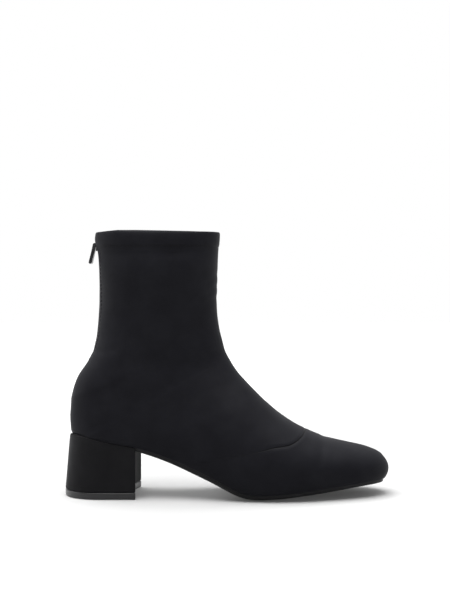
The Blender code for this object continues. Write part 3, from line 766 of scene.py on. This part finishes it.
def make_zip_teeth(material):
    """The two rows of coil teeth, set against each other."""
    stations, run = zip_run()
    beads = []
    for side in (-1, 1):
        start = TOOTH_MARGIN if side < 0 else TOOTH_MARGIN + TOOTH_PITCH / 2
        for travel in np.arange(start, run[-1] - TOOTH_MARGIN, TOOTH_PITCH):
            place, up, out = back_frame(float(np.interp(travel, run, stations)))
            across = np.array([0.0, side, 0.0]) * math.cos(TOOTH_TILT) + up * math.sin(TOOTH_TILT) * side
            centre = place + np.array([0, side * TOOTH_ACROSS, 0]) - out * TOOTH_DEPTH
            beads.append(bead(centre, (across, up, out), TOOTH_SIZE))
    add_piece("zip_teeth", gather("zip_teeth", beads), material, smooth_angle=60)


STITCH_LENGTH = 2.3
STITCH_GAP = 0.7
STITCH_THICK = 0.24
HEM_STITCH_AT = HEM + 0.05
HEM_STITCH_SINK = 0.08
ZIP_STITCH_RISE = SLOT_RISE * 1.75
ZIP_STITCH_PROUD = 0.02


def stitch_row(path, normals):
    """Stitches laid along a path."""
    run = np.concatenate([[0], np.cumsum(np.linalg.norm(np.diff(path, axis=0), axis=1))])

    def value_along(values, travel):
        return np.array([np.interp(travel, run, values[:, k]) for k in range(3)])

    beads = []
    for travel in np.arange(STITCH_GAP, run[-1] - STITCH_LENGTH, STITCH_LENGTH + STITCH_GAP):
        ends = [value_along(path, place) for place in (travel, travel + STITCH_LENGTH)]
        out = value_along(normals, travel + STITCH_LENGTH / 2)
        along = ends[1] - ends[0]
        along /= np.linalg.norm(along)
        out -= along * (out @ along)
        out /= np.linalg.norm(out)
        sizes = (STITCH_LENGTH / 2, STITCH_THICK, STITCH_THICK)
        beads.append(bead((ends[0] + ends[1]) / 2, (along, np.cross(out, along), out), sizes, 6, 6))
    return beads


def surface_normal(at, rise, side):
    """The way out of the upper at a place on it."""
    step = 0.01
    here = point_on(at, rise, side)
    along = point_on(at + step, rise, side) - here
    around = point_on(at, min(1.0, rise + step), side) - point_on(at, max(0.0, rise - step), side)
    normal = np.cross(along, around)
    normal /= np.linalg.norm(normal)
    section_here = section(at)
    middle = np.array([(section_here.low_x + section_here.high_x) / 2, section_here.spine, here[2]])
    return normal if normal @ (here - middle) > 0 else -normal


def make_stitches(material):
    """The stitch line of the hem and those beside the zip."""
    rises = np.linspace(SLOT_RISE, 1 - MIDLINE, 90)
    ring = [(rise, -1) for rise in rises] + [(rise, 1) for rise in rises[::-1]]
    normals = np.array([surface_normal(HEM_STITCH_AT, rise, side) for rise, side in ring])
    relief = hem_relief(HEM_STITCH_AT, np.array([rise for rise, side in ring]))
    lift = CLOTH_LIFT + relief - HEM_STITCH_SINK
    path = np.array([point_on(HEM_STITCH_AT, rise, side) for rise, side in ring]) + normals * lift[:, None]
    beads = stitch_row(path, normals)
    stations = np.linspace(ZIP_END + 0.02, COLLAR - 0.06, 120)
    for side in (-1, 1):
        path, normals = [], []
        for at in stations:
            normal = surface_normal(at, ZIP_STITCH_RISE, side)
            lift = CLOTH_LIFT + float(hem_relief(at, ZIP_STITCH_RISE)) + ZIP_STITCH_PROUD
            path.append(point_on(at, ZIP_STITCH_RISE, side) + normal * lift)
            normals.append(normal)
        beads += stitch_row(np.array(path), np.array(normals))
    add_piece("stitches", gather("stitches", beads), material, smooth_angle=60)


def node(tree, kind, **inputs):
    """A shader node with its inputs set by name."""
    made = tree.nodes.new(kind)
    for name, value in inputs.items():
        made.inputs[name].default_value = value
    return made


def new_material(name, colour, roughness, specular, metallic=0.0, sheen=0.0, coat=0.0):
    """A principled material. Returns it with its tree and shader."""
    material = bpy.data.materials.new(name)
    material.use_nodes = True
    tree = material.node_tree
    shader = tree.nodes["Principled BSDF"]
    shader.inputs["Base Color"].default_value = (*colour, 1)
    shader.inputs["Roughness"].default_value = roughness
    shader.inputs["Specular IOR Level"].default_value = specular
    shader.inputs["Metallic"].default_value = metallic
    shader.inputs["Sheen Weight"].default_value = sheen
    shader.inputs["Sheen Roughness"].default_value = 0.4
    shader.inputs["Coat Weight"].default_value = coat
    shader.inputs["Coat Roughness"].default_value = 0.25
    return material, tree, shader


NOISE_LOW, NOISE_HIGH = 0.3, 0.7  # most of a noise lies between these


def noise(tree, coordinates, scale, detail=3.0):
    made = node(tree, "ShaderNodeTexNoise", Scale=scale, Detail=detail, Roughness=0.55)
    tree.links.new(coordinates, made.inputs["Vector"])
    return made.outputs["Fac"]


def map_range(tree, value, near, far, low, high, kind="SMOOTHSTEP"):
    """A value between near and far turned into one from low to high."""
    made = tree.nodes.new("ShaderNodeMapRange")
    made.interpolation_type = kind
    for name, number in (("From Min", near), ("From Max", far), ("To Min", low), ("To Max", high)):
        made.inputs[name].default_value = number
    tree.links.new(value, made.inputs["Value"])
    return made.outputs["Result"]


def math_node(tree, operation, *values):
    """The result of an operation on values from other nodes."""
    made = tree.nodes.new("ShaderNodeMath")
    made.operation = operation
    for k, value in enumerate(values):
        tree.links.new(value, made.inputs[k])
    return made.outputs["Value"]


def spread(tree, value, low, high):
    """A noise turned into a value from low to high."""
    return map_range(tree, value, NOISE_LOW, NOISE_HIGH, low, high, "LINEAR")


def tint(tree, value, dark, light):
    """A colour between two, by a noise."""
    ramp = tree.nodes.new("ShaderNodeValToRGB")
    ramp.color_ramp.elements[0].position = NOISE_LOW
    ramp.color_ramp.elements[1].position = NOISE_HIGH
    ramp.color_ramp.elements[0].color = (*dark, 1)
    ramp.color_ramp.elements[1].color = (*light, 1)
    tree.links.new(value, ramp.inputs["Fac"])
    return ramp.outputs["Color"]


def bump(tree, height, strength, distance, before=None):
    made = node(tree, "ShaderNodeBump", Strength=strength, Distance=distance)
    tree.links.new(height, made.inputs["Height"])
    if before:
        tree.links.new(before, made.inputs["Normal"])
    return made.outputs["Normal"]


def object_coordinates(tree):
    return tree.nodes.new("ShaderNodeTexCoord").outputs["Object"]


WAVE_PERIOD = 2 / 6.3  # metres between the ribs of a wave node at scale 1
KNIT_PITCH = 0.0007


def knit_height(tree, coordinates):
    """Fine ribs of stretch knit, up and across, with a little unevenness."""
    parts = []
    for direction in ("X", "Z"):
        wave = node(tree, "ShaderNodeTexWave", Scale=WAVE_PERIOD / KNIT_PITCH, Distortion=1.2, Detail=1.0)
        wave.bands_direction = direction
        tree.links.new(coordinates, wave.inputs["Vector"])
        parts.append(wave.outputs["Fac"])
    return math_node(tree, "MULTIPLY", *parts)


def thread_material():
    """Black sewing thread."""
    material, tree, shader = new_material("black_thread", (0.004, 0.004, 0.005), 0.6, 0.06)
    twist = noise(tree, object_coordinates(tree), 2500.0, 1.0)
    colour = tint(tree, twist, (0.003, 0.003, 0.004), (0.006, 0.006, 0.007))
    tree.links.new(colour, shader.inputs["Base Color"])
    tree.links.new(bump(tree, twist, 0.2, 0.0001), shader.inputs["Normal"])
    return material


SEAM_LINE = 0.9  # half width of the seam's groove and of the painted shade along it, in millimetres


def cloth_material(name, dark, light, with_seam):
    """Matt stretch cloth: fine knit, slow changes of tone, a soft sheen and, if wanted, the seam's groove
    with painted shade darkening the colour along it.
    """
    material, tree, shader = new_material(name, dark, 0.6, 0.07, sheen=0.015)
    shader.inputs["Sheen Tint"].default_value = (0.8, 0.8, 0.9, 1)
    where = object_coordinates(tree)
    weave = tint(tree, noise(tree, where, 60.0), dark, light)
    tree.links.new(spread(tree, noise(tree, where, 35.0), 0.52, 0.64), shader.inputs["Roughness"])
    normal = bump(tree, knit_height(tree, where), 0.12, 0.0002)
    normal = bump(tree, noise(tree, where, 900.0, 2.0), 0.10, 0.0002, normal)
    if with_seam:
        distance = tree.nodes.new("ShaderNodeAttribute")
        distance.attribute_name = "seam_distance"
        away = math_node(tree, "ABSOLUTE", distance.outputs["Fac"])
        groove = map_range(tree, away, 0.0, SEAM_LINE, 0.0, 1.0)
        normal = bump(tree, groove, 0.55, 0.0006, normal)
        # Painted shade: along the seam's groove the base colour darkens to near black, and from here on weave
        # carries it
        shade = tree.nodes.new("ShaderNodeMix")
        shade.data_type = "RGBA"
        shade.inputs["A"].default_value = (0.0012, 0.0012, 0.0016, 1)
        tree.links.new(groove, shade.inputs["Factor"])
        tree.links.new(weave, shade.inputs["B"])
        weave = shade.outputs["Result"]
    tree.links.new(weave, shader.inputs["Base Color"])
    tree.links.new(normal, shader.inputs["Normal"])
    return material


def rubber_material(name, dark, light, low, high, specular, coat):
    """Moulded rubber with a fine grain and scuffs of gloss."""
    material, tree, shader = new_material(name, dark, high, specular, coat=coat)
    where = object_coordinates(tree)
    tree.links.new(tint(tree, noise(tree, where, 120.0), dark, light), shader.inputs["Base Color"])
    tree.links.new(spread(tree, noise(tree, where, 80.0), low, high), shader.inputs["Roughness"])
    tree.links.new(bump(tree, noise(tree, where, 1400.0, 2.0), 0.15, 0.0002), shader.inputs["Normal"])
    return material


def metal_material():
    """Dark nickel plate, a little uneven."""
    material, tree, shader = new_material("dark_nickel", (0.045, 0.045, 0.048), 0.28, 0.5, metallic=1.0)
    where = object_coordinates(tree)
    plate = tint(tree, noise(tree, where, 500.0), (0.034, 0.034, 0.036), (0.056, 0.056, 0.059))
    tree.links.new(plate, shader.inputs["Base Color"])
    tree.links.new(spread(tree, noise(tree, where, 700.0), 0.2, 0.36), shader.inputs["Roughness"])
    return material


def dress_node(name, material, edge):
    """A CAD node that stays in view: its material and a small rounding of its edges."""
    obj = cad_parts[name]
    obj.data.materials.clear()
    obj.data.materials.append(material)
    bevel = obj.modifiers.new("rounded edges", "BEVEL")
    bevel.width = edge * MM
    bevel.segments = 2
    bevel.limit_method = "ANGLE"
    bevel.angle_limit = math.radians(35)


def area_light(name, place, aim, size, power):
    data = bpy.data.lights.new(name, "AREA")
    data.shape = "RECTANGLE"
    data.size, data.size_y = size
    data.energy = power
    obj = bpy.data.objects.new(name, data)
    bpy.context.scene.collection.objects.link(obj)
    obj.location = place
    obj.rotation_euler = (Vector(aim) - Vector(place)).to_track_quat("-Z", "Y").to_euler()


# Glow of the floor round a point, in metres: its strength is low up to near, and high from far on
Glow = namedtuple("Glow", "centre near far low high")
FLOOR_GLOWS = [
    # Painted light: the floor glows under the boot's arch, lightening the shadow there
    Glow((-0.035, 0, 0), 0.02, 0.06, 0.12, 0.0),
    # Painted light near the boot: a faint even glow lightens its shadows on the floor; from far on the floor
    # glows plain white as a lit backdrop
    Glow((0, 0, 0), 0.25, 1.2, 0.05, 0.85),
]
FLOOR_RADIUS = 6.0
FLOOR_DROP = 0.0002


def make_floor():
    """A plain pale floor that glows white away from the boot, as a lit backdrop does, and glows faintly near
    it and more under the arch: painted light that lightens the boot's shadow.
    """
    material, tree, shader = new_material("pale_floor", (0.42, 0.42, 0.42), 0.9, 0.0)
    where = object_coordinates(tree)
    paper = tint(tree, noise(tree, where, 3.0), (0.415, 0.415, 0.415), (0.425, 0.425, 0.425))
    tree.links.new(paper, shader.inputs["Base Color"])
    strengths = []
    for glow in FLOOR_GLOWS:
        away = tree.nodes.new("ShaderNodeVectorMath")
        away.operation = "DISTANCE"
        away.inputs[1].default_value = glow.centre
        tree.links.new(where, away.inputs[0])
        strengths.append(map_range(tree, away.outputs["Value"], glow.near, glow.far, glow.low, glow.high))
    tree.links.new(math_node(tree, "ADD", *strengths), shader.inputs["Emission Strength"])
    shader.inputs["Emission Color"].default_value = (1, 1, 1, 1)
    bm = bmesh.new()
    bmesh.ops.create_circle(bm, cap_ends=True, segments=96, radius=FLOOR_RADIUS)
    mesh = bpy.data.meshes.new("floor")
    bm.to_mesh(mesh)
    bm.free()
    mesh.materials.append(material)
    floor = bpy.data.objects.new("floor", mesh)
    bpy.context.scene.collection.objects.link(floor)
    floor.location.z = -FLOOR_DROP


def make_world():
    """A white studio, whose light comes mostly from behind the boot. The camera sees it plain white."""
    world = bpy.data.worlds.new("studio")
    bpy.context.scene.world = world
    world.use_nodes = True
    tree = world.node_tree
    background = tree.nodes["Background"]
    split = tree.nodes.new("ShaderNodeSeparateXYZ")
    tree.links.new(tree.nodes.new("ShaderNodeTexCoord").outputs["Generated"], split.inputs["Vector"])
    strength = map_range(tree, split.outputs["Y"], -0.5, 0.7, 0.38, 0.95)
    seen = tree.nodes.new("ShaderNodeLightPath").outputs["Is Camera Ray"]
    tree.links.new(math_node(tree, "MAXIMUM", strength, seen), background.inputs["Strength"])
    background.inputs["Color"].default_value = (1, 1, 1, 1)


def make_camera():
    """The photo's view: level, from the outer side, 0.8 m away."""
    data = bpy.data.cameras.new("camera")
    data.lens = 61.85
    data.sensor_width = 36.0
    data.clip_start = 0.01
    camera = bpy.data.objects.new("camera", data)
    bpy.context.scene.collection.objects.link(camera)
    camera.location = (-0.0019, -0.8, 0.1498)
    camera.rotation_euler = Euler((math.radians(90), 0, 0))
    bpy.context.scene.camera = camera


make_camera()
CLOTH = cloth_material("stretch_cloth", (0.0049, 0.0049, 0.0068), (0.0072, 0.0073, 0.0096), True)
HEEL_CLOTH = cloth_material("heel_cloth", (0.0054, 0.0053, 0.0062), (0.0078, 0.0077, 0.0087), False)
LINING = cloth_material("lining_cloth", (0.014, 0.014, 0.015), (0.022, 0.022, 0.023), False)
SOLE = rubber_material("sole_rubber", (0.005, 0.005, 0.006), (0.008, 0.008, 0.009), 0.45, 0.58, 0.18, 0.0)
PLATE = rubber_material("plate_rubber", (0.009, 0.009, 0.01), (0.014, 0.014, 0.015), 0.26, 0.38, 0.4, 0.1)
TAPE = cloth_material("zip_tape_weave", (0.007, 0.007, 0.008), (0.011, 0.011, 0.012), False)
NYLON = rubber_material("zip_nylon", (0.012, 0.012, 0.012), (0.02, 0.02, 0.02), 0.3, 0.42, 0.5, 0.0)
THREAD = thread_material()
METAL = metal_material()

make_upper(CLOTH, LINING)
make_outsole(SOLE)
make_heel(HEEL_CLOTH)
make_top_piece(PLATE)
make_zip_tape(TAPE)
make_zip_teeth(NYLON)
make_stitches(THREAD)
dress_node("insole", LINING, 0.5)
dress_node("zip_slider", METAL, 0.15)
dress_node("zip_pull", METAL, 0.2)

make_floor()
make_world()
area_light("overhead", (-0.2, -0.1, 1.7), (0.0, 0, 0), (2.0, 1.6), 82)
area_light("left_strip", (-1.3, 0.2, 0.6), (-0.05, 0, 0.1), (0.3, 1.1), 3.0)
area_light("right_strip", (1.4, 0.3, 0.6), (0.0, 0, 0.05), (0.5, 1.0), 1.2)

view = bpy.context.scene.view_settings
view.view_transform = "Standard"
view.look = "None"
